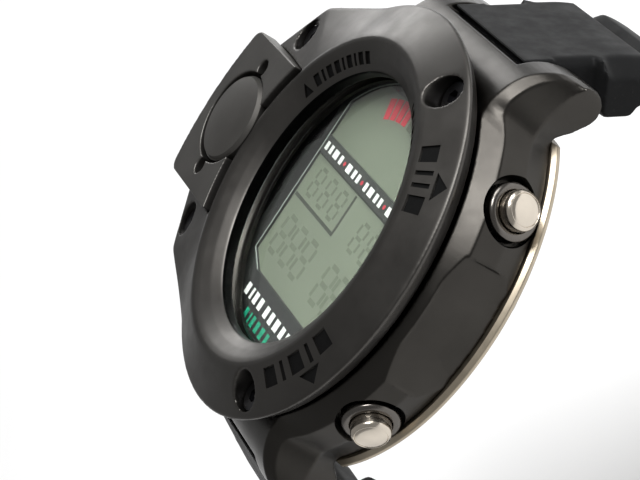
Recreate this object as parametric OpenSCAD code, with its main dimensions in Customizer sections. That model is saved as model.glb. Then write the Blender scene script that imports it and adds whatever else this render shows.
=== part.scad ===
// Wrist dive computer: pressed-on bezel with a side pressure sensor, two push buttons,
// an LCD module in a screwed case, and a fitted rubber strap with a tang buckle.
// Millimetres. The origin is the centre of the case back's flat outer face.
// +Z points out of the dial, +Y to 12 o'clock and +X to 3 o'clock.

/* [Case] */
// Radius of the case middle's round flank
case_r = 25.6; // [25.3:0.1:26]
// Height of the case middle's flat top above the case back's face
case_top_z = 12.0; // [11.8:0.1:12.2]
// Height of the case middle's lower face
case_low_z = 3.7; // [3.6:0.05:3.8]
// Radius of the module cavity
cavity_r = 18.6; // [18.4:0.1:18.8]
// Gap between the lugs
lug_gap = 20; // [19.8:0.1:20.4]
// Distance of the spring bars from the centre
bar_y = 24.0; // [23.9:0.05:24.1]
// Height of the spring bars
bar_z = 4.6; // [4.5:0.05:4.7]

/* [Bezel] */
// Radius of the opening over the display
opening_r = 16.0; // [15.8:0.1:16.2]
// Height of the opening's edge
opening_z = 15.2; // [15.1:0.1:15.4]
// Radius of the raised crest around the opening
crest_r = 19.3; // [19.1:0.1:19.4]
// Height of the crest
crest_z = 16.9; // [16.7:0.1:17]
// Radius of the bezel's outer rim
rim_r = 24.6; // [24.4:0.1:24.8]
// Height of the upper edge of the rim
rim_z = 14.5; // [14.3:0.1:14.6]

/* [Sensor] */
// Distance of the pressure sensor's centre from the dial centre
sensor_x = 25.0; // [24.9:0.1:25.1]
// Radius of the domed sensor cap
sensor_cap_r = 5.45; // [5.3:0.05:5.5]
// Half length of the sensor guard along Y
guard_half_y = 9.7; // [9.5:0.1:9.9]
// Height of the sensor guard's top face
guard_top_z = 17.3; // [17.1:0.1:17.4]

/* [Buttons] */
// Angle of each button from 3 o'clock
button_angle = 31.4; // [31:0.1:32]
// Height of the button axes
button_z = 7.1; // [7:0.05:7.2]
// Radius of a button's cap
button_r = 2.15; // [2:0.05:2.2]
// Travel of a button
button_travel = 1.2; // [0.8:0.1:1.2]

/* [Strap] */
// Width of the strap beyond the lugs
strap_w = 24; // [22:0.5:24.5]
// Width of the strap at the buckle
strap_end_w = 20; // [19:0.5:20]
// Thickness of the plain part of the strap
strap_t = 3.6; // [3.4:0.1:3.8]
// Length of the buckle frame
buckle_len = 20; // [19:0.5:20]
// Outer width of the buckle frame
buckle_w = 27; // [26.5:0.5:28]

/* [Hidden] */

$fn = 72;
eps = 0.01;
// Clearance of fixed fits and of running fits
fixed_gap = 0.05;
run_gap = 0.08;

// Case middle
flank_top_z = 10.1;
case_top_r = 23.3;
pocket_r = 24.5;
pocket_y = [-8.4, 7.7];
seat_z = 11.5;
lip_z = 10.6;
lip_r = 16.3;
neck_r = 18.95;
neck_z = 13.6;
lug_arc = [19.6, 4.2, 7.75];
lug_nose = [24.6, 3.6, 2.8];
lug_top_w = 13.8;
lug_ridge_w = 17.2;
lug_ridge_z = 6.0;
lug_foot_w = 14.2;
socket_r = 3.5;
slot_y = 25.0;

// Crystal stack
crystal_r = 17.2;
crystal_t = 1.8;
gasket_r = 17.85;
lcd_z = 9.0;
lcd_t = 1.15;

// Bezel
bezel_low_z = 12.5;
lip_under_z = 13.75;
shelf_z = 15.7;
guard_seat_z = 15.2;
guard_inner_r = 20.5;
guard_end_r = 32.8;
guard_corner_r = 1.6;
screw_side_a = 59.9;
screw_side_r = 21.75;
screw_ext = [-24.0, 12.8];
bezel_screw_at = [
    [screw_side_r * cos(screw_side_a), screw_side_r * sin(screw_side_a)],
    [screw_side_r * cos(screw_side_a), -screw_side_r * sin(screw_side_a)],
    screw_ext,
    [screw_ext[0], -screw_ext[1]]
];
bezel_hole_r = 2.05;
bezel_web_z = 13.3;
screw_r = 1.0;

// Case back
back_r = 25.4;
back_t = 3.4;
back_flat_y = 20.4;
back_screw_at = [[21.1, 4.5], [21.1, -4.5], [-17.0, 13.3], [-17.0, -13.3]];
back_seat_z = 2.5;

// Buttons, as distances along the radial axis
collar_in = 23.4;
collar_out = 25.5;
collar_r = 3.1;
collar_bore_r = 2.25;
cap_in = 24.1;
// Floor under the spring, with room for its pressed coils
spring_floor = cap_in - button_travel - 1.7;
cap_out = 27.3;
tube_in = 18.75;
tube_r = 2.9;
stem_r = 1.0;
stem_in = 17.5;

// Strap paths: each step is a length and the turn made along it, starting at the spring bar
strap_start_a = -59;
upper_run = [[8, 0], [8, 31], [29, 0], [37.7, 90], [10, 0]];
lower_run = [[8, 0], [8, 31], [19.5, 0], [37.7, 90], [3, 0], [26.2, 80], [7, 0]];
boss_r = 3.1;
strap_out = 3.75;
rib_pitch = 6.5;
rib_first = 11.0;
rib_count = 3;
rib_valley = 1.1;
rib_height = 2.5;
inner_rib_s = 7.5;
wide_from = 5.2;
tongue_slot_w = 3.4;
hole_count = 7;
hole_pitch = 7;
hole_first = 56;
// Lengths along the upper path at which the two keepers sit
keeper_s = 56.7;
fixed_keeper_s = 66.0;
keeper_len = 4.6;
keeper_room = 3.8;
keeper_side_room = 0.45;
keeper_wall = 1.5;
bar_r = 0.9;
hinge_r = 1.0;
tongue_r = 1.9;

// Running total of a path's length
function run_len(run, i = 0) = i == len(run) ? 0 : run[i][0] + run_len(run, i + 1);
// Turn made along a path up to the length s
function run_turn(run, s, i = 0) =
    i == len(run) ? 0 :
    s <= run[i][0] ? run[i][1] * s / run[i][0] :
    run[i][1] + run_turn(run, s - run[i][0], i + 1);
// Direction of the upper strap's path at the length s: it falls, then turns under the case
function path_a(run, s) = strap_start_a - run_turn(run, max(s, 0));
// Point on the path at the length s, stepped in short chords
function path_at(run, s, n = 48) =
    let (d = s / n)
    [bar_y, bar_z] + d * sum_dir(run, d, n, 0);
function sum_dir(run, d, n, i) =
    i == n ? [0, 0] :
    [cos(path_a(run, (i + 0.5) * d)), sin(path_a(run, (i + 0.5) * d))] + sum_dir(run, d, n, i + 1);
function arc_pts(c, r, a0, a1, n) =
    [for (i = [0:n])
        let (a = a0 + (a1 - a0) * i / n)
        c + r * [cos(a), sin(a)]];
function mix(a, b, t) = a + (b - a) * min(max(t, 0), 1);

// ---------------------------------------------------------------- helpers

// Puts children, drawn along +X from the dial centre, on a button's axis
module on_button(side) {
    rotate([0, 0, side * button_angle])
        translate([0, 0, button_z])
            children();
}

// Cylinder along X between two distances
module rod_x(x0, x1, r) {
    translate([x0, 0, 0])
        rotate([0, 90, 0])
            cylinder(r = r, h = x1 - x0);
}

// Cylinder along X, centred on the YZ plane
module pin_x(length, r) {
    rotate([0, 90, 0])
        cylinder(r = r, h = length, center = true);
}

module tube(r_out, r_in, z0, z1) {
    translate([0, 0, z0])
        difference() {
            cylinder(r = r_out, h = z1 - z0);
            translate([0, 0, -eps])
                cylinder(r = r_in, h = z1 - z0 + 2 * eps);
        }
}

// Extrudes an outline, drawn as [y, z], along X over a centred width
module side_profile(width) {
    rotate([90, 0, 90])
        linear_extrude(height = width, center = true)
            children();
}

// Closed skin over rings of points that run anticlockwise as seen from the first ring's side
module skin(rings) {
    sides = len(rings[0]);
    last = len(rings) - 1;
    polyhedron(
        points = [for (ring = rings) for (p = ring) p],
        faces = concat(
            [[for (k = [0:sides - 1]) sides - 1 - k]],
            [for (i = [0:last - 1]) for (k = [0:sides - 1])
                let (m = (k + 1) % sides)
                [i * sides + k, i * sides + m, (i + 1) * sides + m, (i + 1) * sides + k]],
            [[for (k = [0:sides - 1]) last * sides + k]]
        )
    );
}

// Places children at the spot and direction of a strap path, with +Y along the path
// and +Z to the outside of the loop
module on_path(run, s) {
    p = path_at(run, s);
    translate([0, p[0], p[1]])
        rotate([path_a(run, s), 0, 0])
            children();
}

// ---------------------------------------------------------------- case

// Outline of a lug from the side: the top rolls over into a round nose
module lug_side() {
    polygon(concat(
        [[12, case_low_z], [12, case_top_z]],
        arc_pts([lug_arc[0], lug_arc[1]], lug_arc[2], 84, 8, 14),
        arc_pts([lug_nose[0], lug_nose[1]], lug_nose[2], -2, -105, 9),
        [[22.6, 1.75], [20.7, case_low_z]]
    ));
}

// Pair of lugs at one end, with bevelled outer sides
module lugs() {
    intersection() {
        side_profile(40)
            lug_side();
        rotate([90, 0, 0])
            linear_extrude(height = 80, center = true)
                polygon([
                    [-lug_foot_w, 0], [lug_foot_w, 0], [lug_ridge_w, lug_ridge_z], [lug_top_w, case_top_z],
                    [-lug_top_w, case_top_z], [-lug_ridge_w, lug_ridge_z]
                ]);
        // Plan with a waist between the round flank and the tip
        linear_extrude(height = 20)
            polygon([
                [-18.4, 14], [18.4, 14], [16.0, 20.4], [15.6, 22.6], [16.2, 28],
                [-16.2, 28], [-15.6, 22.6], [-16.0, 20.4]
            ]);
    }
}

// Plan of the case under the sensor
module sensor_side_plan(grow) {
    offset(delta = grow)
        polygon([
            [-8, 22.0], [-22.6, 16.9], [-25.1, 15.2], [-29.4, 9.7], [-31.6, 5.2],
            [-31.6, -5.2], [-29.4, -9.7], [-25.1, -15.2], [-22.6, -16.9], [-8, -22.0]
        ]);
}

module case_shell() {
    rotate_extrude($fn = 144)
        polygon([
            [0, case_low_z], [case_r - 0.5, case_low_z], [case_r, case_low_z + 0.6],
            [case_r, flank_top_z], [case_top_r, case_top_z], [0, case_top_z]
        ]);
    lugs();
    mirror([0, 1, 0])
        lugs();
    hull() {
        translate([0, 0, case_low_z + 1.6])
            linear_extrude(height = case_top_z - case_low_z - 1.6)
                sensor_side_plan(-0.8);
        translate([0, 0, case_low_z])
            linear_extrude(height = 1)
                sensor_side_plan(-2.6);
    }
}

// Gap for a strap end: straight through outside the wall, round about the spring bar
module strap_slot() {
    translate([-lug_gap / 2, slot_y, -eps])
        cube([lug_gap, 10, 20]);
    translate([0, bar_y, bar_z])
        pin_x(lug_gap, socket_r);
    translate([-lug_gap / 2, bar_y - 3.2, -eps])
        cube([lug_gap, 10, bar_z]);
    translate([0, bar_y, bar_z])
        pin_x(lug_gap + 6, bar_r * 0.6 + fixed_gap);
}

module case_body() {
    color([0.25, 0.245, 0.235])
        difference() {
            union() {
                case_shell();
                cylinder(r = neck_r, h = neck_z);
            }
            translate([0, 0, -eps])
                cylinder(r = cavity_r, h = lip_z + eps);
            cylinder(r = lip_r, h = 20);
            translate([0, 0, seat_z])
                cylinder(r = gasket_r + fixed_gap, h = 5);
            translate([0, 0, -eps])
                cylinder(r = cavity_r + 2, h = case_low_z + eps);
            // Pocket in the flank between the buttons
            intersection() {
                tube(case_r + 5, pocket_r, case_low_z - 1, flank_top_z + 1.2);
                translate([0, pocket_y[0], 0])
                    cube([40, pocket_y[1] - pocket_y[0], 20]);
            }
            for (side = [-1, 1]) {
                mirror([0, side < 0 ? 1 : 0, 0])
                    strap_slot();
                on_button(side) {
                    rod_x(collar_in, 40, collar_r + 0.45);
                    rod_x(10, 40, tube_r + fixed_gap);
                }
            }
            // Pressure chamber and the passage for its leads
            translate([-sensor_x, 0, 5.4])
                cylinder(r = 4.6, h = 10);
            rotate([0, 0, 180])
                translate([0, 0, 8])
                    rod_x(15, 22, 0.9);
            for (p = bezel_screw_at)
                translate([p[0], p[1], 8.4])
                    cylinder(r = screw_r + fixed_gap, h = 10, $fn = 24);
            for (p = back_screw_at)
                translate([p[0], p[1], 0])
                    cylinder(r = screw_r + fixed_gap, h = 7, $fn = 24);
        }
}

module case_back() {
    color([0.62, 0.56, 0.46])
        difference() {
            intersection() {
                rotate_extrude($fn = 144)
                    polygon([
                        [0, 0], [20.5, 0], [23.8, 1.8], [back_r, 2.9], [back_r, back_t - 0.2],
                        [back_r - 0.2, back_t], [0, back_t]
                    ]);
                translate([-40, -back_flat_y, 0])
                    cube([80, 2 * back_flat_y, 10]);
            }
            tube(cavity_r + 1.5, cavity_r + 0.5, back_t - 0.4, back_t + 1);
            for (p = back_screw_at)
                translate([p[0], p[1], -eps]) {
                    cylinder(r = screw_r + 0.1, h = 10, $fn = 24);
                    cylinder(r = 1.65, h = back_seat_z, $fn = 32);
                }
        }
}

module back_gasket() {
    color([0.06, 0.06, 0.06])
        tube(cavity_r + 1.45, cavity_r + 0.55, back_t - 0.4, case_low_z);
}

// Cross-slotted screw with its head down or up
module screw(head_r, head_t, shank) {
    difference() {
        union() {
            cylinder(r = head_r, h = head_t, $fn = 32);
            translate([0, 0, -shank])
                cylinder(r = screw_r - fixed_gap, h = shank + eps, $fn = 24);
        }
        translate([0, 0, head_t - 0.6])
            cylinder(r = 0.85, h = 1, $fn = 6);
    }
}

module back_screws() {
    color([0.5, 0.5, 0.5])
        for (p = back_screw_at)
            translate([p[0], p[1], back_seat_z - 0.02])
                mirror([0, 0, 1])
                    screw(1.5, 1.2, 4.2);
}

// ---------------------------------------------------------------- bezel

module bezel_ring() {
    rotate_extrude($fn = 144)
        polygon(concat(
            [[opening_r, lip_under_z], [opening_r, opening_z - 0.15], [opening_r + 0.2, opening_z]],
            arc_pts([crest_r, crest_z - 1.0], 1.0, 118, 64, 6),
            [
                [rim_r, rim_z], [rim_r, rim_z - 0.3], [rim_r - 0.9, bezel_low_z + 0.5],
                [rim_r - 1.4, bezel_low_z], [neck_r + 0.15, bezel_low_z],
                [neck_r + 0.15, lip_under_z]
            ]
        ));
}

// Sensor shelf that grows from the ring at 9 o'clock
module bezel_shelf() {
    difference() {
        hull() {
            translate([0, 0, bezel_low_z])
                linear_extrude(height = 1)
                    sensor_side_plan(0.5);
            translate([0, 0, bezel_low_z + 1.2])
                linear_extrude(height = 0.5)
                    sensor_side_plan(0.9);
            translate([0, 0, shelf_z - 0.3])
                linear_extrude(height = 0.3)
                    sensor_side_plan(-1.1);
        }
        translate([0, 0, bezel_low_z - 1])
            cylinder(r = crest_r + 1, h = 10, $fn = 144);
    }
}

module bezel() {
    color([0.33, 0.32, 0.305])
        difference() {
            union() {
                bezel_ring();
                bezel_shelf();
            }
            // Seat of the sensor guard
            difference() {
                translate([-40, -guard_half_y - 0.1, guard_seat_z])
                    cube([30, 2 * guard_half_y + 0.2, 10]);
                cylinder(r = guard_inner_r - 0.5, h = 30, $fn = 144);
            }
            translate([-sensor_x, 0, bezel_low_z - 1])
                cylinder(r = sensor_cap_r + 0.15, h = 10);
            for (p = bezel_screw_at)
                translate([p[0], p[1], 0]) {
                    translate([0, 0, bezel_web_z])
                        cylinder(r = bezel_hole_r, h = 10, $fn = 40);
                    translate([0, 0, bezel_low_z - 1])
                        cylinder(r = screw_r + 0.1, h = 10, $fn = 24);
                }
        }
}

module bezel_screws() {
    color([0.2, 0.2, 0.22])
        for (p = bezel_screw_at)
            translate([p[0], p[1], bezel_web_z + 0.02])
                screw(1.85, 1.1, 4.7);
}

// Plan of the guard: straight sides and an outer end on a circle about the dial centre
module guard_plan() {
    offset(r = guard_corner_r, $fn = 32)
        offset(delta = -guard_corner_r)
            intersection() {
                circle(r = guard_end_r, $fn = 96);
                translate([-40, -guard_half_y])
                    square([28, 2 * guard_half_y]);
            }
}

module sensor_guard() {
    color([0.36, 0.35, 0.33])
        difference() {
            translate([0, 0, guard_seat_z + 0.02])
                linear_extrude(height = guard_top_z - guard_seat_z - 0.02)
                    guard_plan();
            cylinder(r = guard_inner_r, h = 30, $fn = 144);
            translate([-sensor_x, 0, 0])
                cylinder(r = sensor_cap_r + 0.45, h = 30);
            // Teardrop notches for a cap key
            for (side = [-1, 1])
                translate([-sensor_x, side * (sensor_cap_r + 1.3), 0])
                    cylinder(r = 1.05, h = 30, $fn = 28);
        }
}

module sensor_cap() {
    dome_r = 26;
    cap_top = guard_top_z + 0.55;
    color([0.3, 0.3, 0.29])
        translate([-sensor_x, 0, 0])
            rotate_extrude()
                polygon(concat(
                    [
                        [3.2, bezel_low_z + 1.6], [3.2, bezel_low_z + 0.2],
                        [sensor_cap_r, bezel_low_z + 0.2], [sensor_cap_r, guard_top_z - 0.35]
                    ],
                    arc_pts([0, cap_top - dome_r], dome_r, 90 - asin((sensor_cap_r - 0.4) / dome_r), 90, 6),
                    [[0, bezel_low_z + 1.6]]
                ));
}

module sensor_body() {
    color([0.75, 0.75, 0.76])
        translate([-sensor_x, 0, 0])
            rotate_extrude()
                polygon([
                    [0, 5.5], [3.9, 5.5], [3.9, 8.2], [3.3, 8.2], [3.3, 9.3], [4.5, 9.3],
                    [4.5, 12.0], [2.6, 12.0], [2.6, 13.0], [0, 13.0]
                ]);
}

module sensor_seal() {
    color([0.05, 0.05, 0.05])
        translate([-sensor_x, 0, 8.75])
            rotate_extrude()
                translate([3.95, 0])
                    circle(r = 0.5, $fn = 24);
}

// Ribbon from the sensor to the circuit board
module sensor_leads() {
    color([0.8, 0.5, 0.2])
        translate([-20.9, -0.6, 7.9])
            cube([5.1, 1.2, 0.2]);
}

// ---------------------------------------------------------------- crystal and display

module crystal() {
    color([0.8, 0.88, 0.86, 0.4])
        translate([0, 0, seat_z])
            rotate_extrude($fn = 144)
                polygon([
                    [0, 0], [crystal_r, 0], [crystal_r, crystal_t - 0.25],
                    [crystal_r - 0.25, crystal_t], [0, crystal_t]
                ]);
}

module crystal_gasket() {
    color([0.08, 0.08, 0.08])
        tube(gasket_r, crystal_r + 0.02, seat_z, seat_z + crystal_t);
}

// Printed mask over the display: a ring with a bar across, and a closed chord at 6 o'clock
module dial_mask() {
    color([0.12, 0.13, 0.13])
        translate([0, 0, lcd_z + lcd_t + 0.02])
            difference() {
                cylinder(r = 17.6, h = 0.35);
                difference() {
                    translate([0, 0, -1])
                        cylinder(r = 15.0, h = 3);
                    translate([-20, -30.8, -2])
                        cube([40, 20, 5]);
                    translate([-20, 4.2, -2])
                        cube([40, 2.6, 5]);
                }
            }
}

module lcd_panel() {
    color([0.62, 0.68, 0.58])
        intersection() {
            translate([-16, -12.5, lcd_z])
                cube([32, 27, lcd_t]);
            cylinder(r = 16.6, h = 20);
        }
}

module backlight_panel() {
    color([0.75, 0.85, 0.8])
        intersection() {
            translate([-15, -11.5, lcd_z - 0.4])
                cube([30, 25, 0.38]);
            cylinder(r = 15.9, h = 20);
        }
}

// Moulded holder of the module: a ring with a floor on which the display and the board sit
module module_frame() {
    color([0.85, 0.85, 0.8])
        difference() {
            cylinder(r = 17.9, h = lcd_z + lcd_t);
            translate([0, 0, -eps])
                cylinder(r = 30, h = 3.9);
            translate([0, 0, lcd_z - 0.5])
                cylinder(r = 16.8, h = 5);
            translate([0, 0, 3])
                cylinder(r = 16.0, h = 5.4);
            translate([-12, -9, 5])
                cube([24, 18, 5]);
            for (side = [-1, 1])
                on_button(side)
                    rod_x(14, 30, 2.2);
            rotate([0, 0, 180])
                translate([0, 0, 8])
                    rod_x(12, 30, 1.0);
        }
}

module circuit_board() {
    color([0.1, 0.35, 0.18])
        translate([0, 0, 7.55])
            difference() {
                cylinder(r = 15.6, h = 0.8);
                for (a = [70, 190, 310])
                    rotate([0, 0, a])
                        translate([14, 0, -1])
                            cylinder(r = 0.8, h = 3, $fn = 24);
            }
}

module processor_chip() {
    color([0.08, 0.08, 0.08])
        translate([-4, -4, 8.37])
            linear_extrude(height = 0.21)
                square([8, 8]);
}

module battery() {
    color([0.8, 0.8, 0.82])
        translate([-3, 0, 4.32])
            rotate_extrude()
                polygon([[0, 0], [9.2, 0], [9.2, 0.3], [10, 0.6], [10, 3.2], [0, 3.2]]);
}

module battery_clamp() {
    color([0.75, 0.7, 0.5])
        difference() {
            translate([-15.4, -2, 3.9])
                cube([24, 4, 0.4]);
            translate([-14.2, 0, 3])
                cylinder(r = 0.7, h = 3, $fn = 24);
        }
}

module alarm_disc() {
    color([0.8, 0.65, 0.3])
        translate([4, 0, back_t + 0.02])
            cylinder(r = 8, h = 0.3);
}

// ---------------------------------------------------------------- buttons

// Collar and sleeve pressed into the case
module button_tube(side) {
    color([0.45, 0.42, 0.38])
        on_button(side)
            difference() {
                union() {
                    rod_x(tube_in, collar_in + 0.02, tube_r);
                    rod_x(collar_in + 0.02, collar_out - 0.35, collar_r);
                    translate([collar_out - 0.35, 0, 0])
                        rotate([0, 90, 0])
                            cylinder(r1 = collar_r, r2 = collar_r - 0.3, h = 0.35);
                }
                rod_x(spring_floor, 30, collar_bore_r);
                rod_x(10, 30, stem_r + run_gap);
            }
}

// Domed cap with its stem, and the groove for the seal
module button(side) {
    dome = 6.5;
    color([0.78, 0.72, 0.62])
        on_button(side)
            rotate([0, 90, 0])
                rotate_extrude()
                    polygon(concat(
                        [
                            [0, stem_in], [stem_r, stem_in], [stem_r, stem_in + 0.4],
                            [stem_r - 0.35, stem_in + 0.4], [stem_r - 0.35, stem_in + 0.85],
                            [stem_r, stem_in + 0.85], [stem_r, 19.6], [stem_r - 0.3, 19.6],
                            [stem_r - 0.3, 20.4], [stem_r, 20.4], [stem_r, cap_in],
                            [button_r, cap_in], [button_r, cap_out - 0.55]
                        ],
                        arc_pts([button_r - 0.3, cap_out - 0.55], 0.3, 0, 60, 3),
                        arc_pts([0, cap_out - dome], dome, 90 - asin(1.7 / dome), 90, 5)
                    ));
}

// Coil between the collar's floor and the cap
module button_spring(side) {
    turns = 4;
    coil_r = 1.62;
    wire_r = 0.16;
    sides = 6;
    steps = 14;
    n = turns * steps;
    free = cap_in - spring_floor - 2 * wire_r - 0.04;
    rings = [for (i = [0:n]) [for (k = [0:sides - 1])
        let (a = 360 * i / steps, b = 360 * k / sides, r = coil_r + wire_r * cos(b))
        [spring_floor + wire_r + 0.02 + free * i / n + wire_r * sin(b), r * cos(a), r * sin(a)]]];
    color([0.7, 0.7, 0.7])
        on_button(side)
            skin(rings);
}

module button_seal(side) {
    color([0.05, 0.05, 0.05])
        on_button(side)
            translate([20.0, 0, 0])
                rotate([0, 90, 0])
                    rotate_extrude()
                        translate([0.87, 0])
                            circle(r = 0.17, $fn = 20);
}

// Spring clip that keeps the stem in
module button_clip(side) {
    color([0.6, 0.6, 0.6])
        on_button(side)
            difference() {
                rod_x(stem_in + 0.42, stem_in + 0.83, 1.7);
                rod_x(10, 30, stem_r - 0.3);
                translate([10, -0.5, -4])
                    cube([20, 1, 4]);
            }
}

// ---------------------------------------------------------------- strap

// Trapezoid wave of unit pitch: 1 on its crest, 0 in its valley
function wave(u) = mix(0, 1, (0.5 - abs(u - floor(u) - 0.5)) / 0.16 - 0.55);
// Offset of the strap's outside: flat to the first rib's edge, then ribs, then plain
function outer_off(s) =
    let (k = (s - rib_first) / rib_pitch + 0.82)
    k < 0.82 ? strap_out :
    k > rib_count + 0.75 ? mix(rib_valley, strap_t / 2, (k - rib_count - 0.75) / 0.2) :
    rib_valley + (rib_height - 0.15 * floor(k)) * wave(k);
// Offset of its inside: one rib by the case, then ribs half a pitch from the outer ones
function inner_off(s) =
    let (k = (s - rib_first) / rib_pitch + 1.32)
    s < 3.4 ? boss_r :
    s < inner_rib_s - 3 ? mix(boss_r, rib_valley, (s - 3.4) / 0.8) :
    s < inner_rib_s + 3 ? rib_valley + 1.3 * wave((s - inner_rib_s) / 6 + 0.5) :
    k < 2 ? rib_valley :
    k > rib_count + 1 ? mix(rib_valley, strap_t / 2, (k - rib_count - 1) / 0.2) :
    rib_valley + (rib_height - 0.9) * wave(k);
// Half width: narrow between the lugs, wide beyond them, then tapering
function half_w(s) =
    s < wide_from ? lug_gap / 2 - 0.2 : mix(strap_w, strap_end_w, (s - 24) / 40) / 2;

// Strap band swept along its path from the length s0 to s1
module band(run, s0, s1, step, end_round) {
    n = round((s1 - s0) / step);
    rings = [for (i = [0:n])
        let (
            s = s0 + (s1 - s0) * i / n,
            p = path_at(run, s),
            a = path_a(run, s),
            nrm = [-sin(a), cos(a)],
            left = s1 - s,
            tip = end_round > 0 && left < end_round ? sqrt(1 - pow(1 - left / end_round, 2)) : 1,
            w = half_w(s) - end_round * (1 - max(tip, 0.05)),
            o = outer_off(s),
            q = inner_off(s),
            c = min(0.9, (o + q) / 3)
        )
        [for (v = [
            [-w, -q + c], [-w + c, -q], [w - c, -q], [w, -q + c],
            [w, o - c], [w - c, o], [-w + c, o], [-w, o - c]
        ]) [v[0], p[0] + v[1] * nrm[0], p[1] + v[1] * nrm[1]]]];
    skin(rings);
}

// Fitted end that fills the slot above the spring bar
module strap_block() {
    d = [cos(strap_start_a), sin(strap_start_a)];
    nrm = [-d[1], d[0]];
    p = [bar_y, bar_z];
    top = p + nrm * strap_out - d * 3.4;
    side_profile(lug_gap - 0.4)
        polygon([
            top, [top[0], bar_z + 2.6], p, p + d * 0.5, p + d * 0.5 + nrm * strap_out
        ]);
}

module strap_root(run) {
    translate([0, bar_y, bar_z])
        pin_x(lug_gap - 0.4, boss_r);
    strap_block();
    band(run, 0.2, 30, 0.62, 0);
}

module strap_half_upper() {
    total = run_len(upper_run);
    bar = path_at(upper_run, total);
    difference() {
        union() {
            strap_root(upper_run);
            band(upper_run, 29.9, total - 1.0, 2.4, 0);
            translate([0, bar[0], bar[1]])
                pin_x(strap_end_w - 0.6, strap_t / 2);
            fixed_keeper();
        }
        translate([0, bar_y, bar_z])
            pin_x(lug_gap + 2, bar_r + run_gap);
        translate([0, bar[0], bar[1]])
            pin_x(40, hinge_r + run_gap);
        // Slot for the tongue
        translate([-tongue_slot_w / 2, bar[0] - 5, bar[1] - 5])
            cube([tongue_slot_w, 7.6, 10]);
    }
}

// Rectangular loop around the strap with rounded corners
module keeper_loop(s, inner_room) {
    w = half_w(s) + keeper_side_room;
    on_path(upper_run, s)
        rotate([90, 0, 0])
            linear_extrude(height = keeper_len, center = true)
                difference() {
                    offset(r = keeper_wall, $fn = 40)
                        keeper_hole(w, inner_room);
                    keeper_hole(w, inner_room);
                }
}

module keeper_hole(w, inner_room) {
    translate([-w, -strap_t / 2 - inner_room])
        square([2 * w, strap_t + inner_room + keeper_room]);
}

// Loop moulded on the strap: its inner leg is left out, and its sides grow from the strap's edges
module fixed_keeper() {
    w = half_w(fixed_keeper_s) + keeper_side_room;
    difference() {
        keeper_loop(fixed_keeper_s, 0);
        on_path(upper_run, fixed_keeper_s)
            translate([-w - 3, -keeper_len, -strap_t / 2 - 3])
                cube([2 * w + 6, 2 * keeper_len, 3.4]);
    }
    on_path(upper_run, fixed_keeper_s)
        for (side = [-1, 1])
            translate([side * (w + keeper_wall / 2 - 0.3), 0, 0])
                cube([keeper_wall + 0.6, keeper_len, strap_t - 1], center = true);
}

module strap_half_lower() {
    total = run_len(lower_run);
    difference() {
        union() {
            strap_root(lower_run);
            band(lower_run, 29.9, total, 2.2, 8);
        }
        translate([0, bar_y, bar_z])
            pin_x(lug_gap + 2, bar_r + run_gap);
        for (i = [0:hole_count - 1])
            on_path(lower_run, hole_first + i * hole_pitch)
                cylinder(r = 1.3, h = 12, center = true, $fn = 24);
    }
}

module strap_upper() {
    color([0.07, 0.07, 0.07])
        strap_half_upper();
}

module strap_lower() {
    color([0.07, 0.07, 0.07])
        mirror([0, 1, 0])
            strap_half_lower();
}

module strap_keeper() {
    color([0.08, 0.08, 0.08])
        keeper_loop(keeper_s, keeper_side_room);
}

module spring_bar(side) {
    color([0.7, 0.7, 0.7])
        translate([0, side * bar_y, bar_z]) {
            pin_x(lug_gap - 0.3, bar_r);
            pin_x(lug_gap + 5, bar_r * 0.6);
        }
}

// ---------------------------------------------------------------- buckle

// Places children at the buckle's hinge, with +Y along the frame
module at_buckle() {
    bar = path_at(upper_run, run_len(upper_run));
    translate([0, bar[0], bar[1]])
        rotate([path_a(upper_run, run_len(upper_run)), 0, 0])
            children();
}

module buckle_frame() {
    hw = buckle_w / 2;
    rail = 2.6;
    color([0.55, 0.53, 0.5])
        at_buckle()
            difference() {
                translate([0, 0, -1.5])
                    linear_extrude(height = 3)
                        difference() {
                            polygon(concat(
                                [[hw - 1.0, -2.2], [hw, -1.2]],
                                arc_pts([hw - 4, buckle_len - 4], 4, 0, 90, 8),
                                arc_pts([-hw + 4, buckle_len - 4], 4, 90, 180, 8),
                                [[-hw, -1.2], [-hw + 1.0, -2.2]]
                            ));
                            polygon([
                                [hw - rail, -5],
                                [hw - rail, buckle_len - 5],
                                [hw - rail - 1.5, buckle_len - 3.4],
                                [-hw + rail + 1.5, buckle_len - 3.4],
                                [-hw + rail, buckle_len - 5],
                                [-hw + rail, -5]
                            ]);
                        }
                pin_x(buckle_w - 2, hinge_r + fixed_gap);
                // Rest for the tongue's tip
                translate([-1.6, buckle_len - 4, 0.4])
                    cube([3.2, 6, 3]);
            }
}

module buckle_bar() {
    color([0.6, 0.6, 0.6])
        at_buckle()
            pin_x(buckle_w - 2.2, hinge_r);
}

module buckle_tongue() {
    color([0.6, 0.58, 0.55])
        at_buckle()
            difference() {
                union() {
                    pin_x(2.8, tongue_r);
                    side_profile(2.4)
                        polygon(concat(
                            [[0, -0.2], [buckle_len - 4.4, 0.45], [buckle_len - 1.2, 0.5]],
                            arc_pts([buckle_len - 1.2, 1.2], 0.7, -90, 90, 6),
                            [[buckle_len - 4.4, 1.9], [0, tongue_r]]
                        ));
                }
                pin_x(10, hinge_r + run_gap);
            }
}

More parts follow.
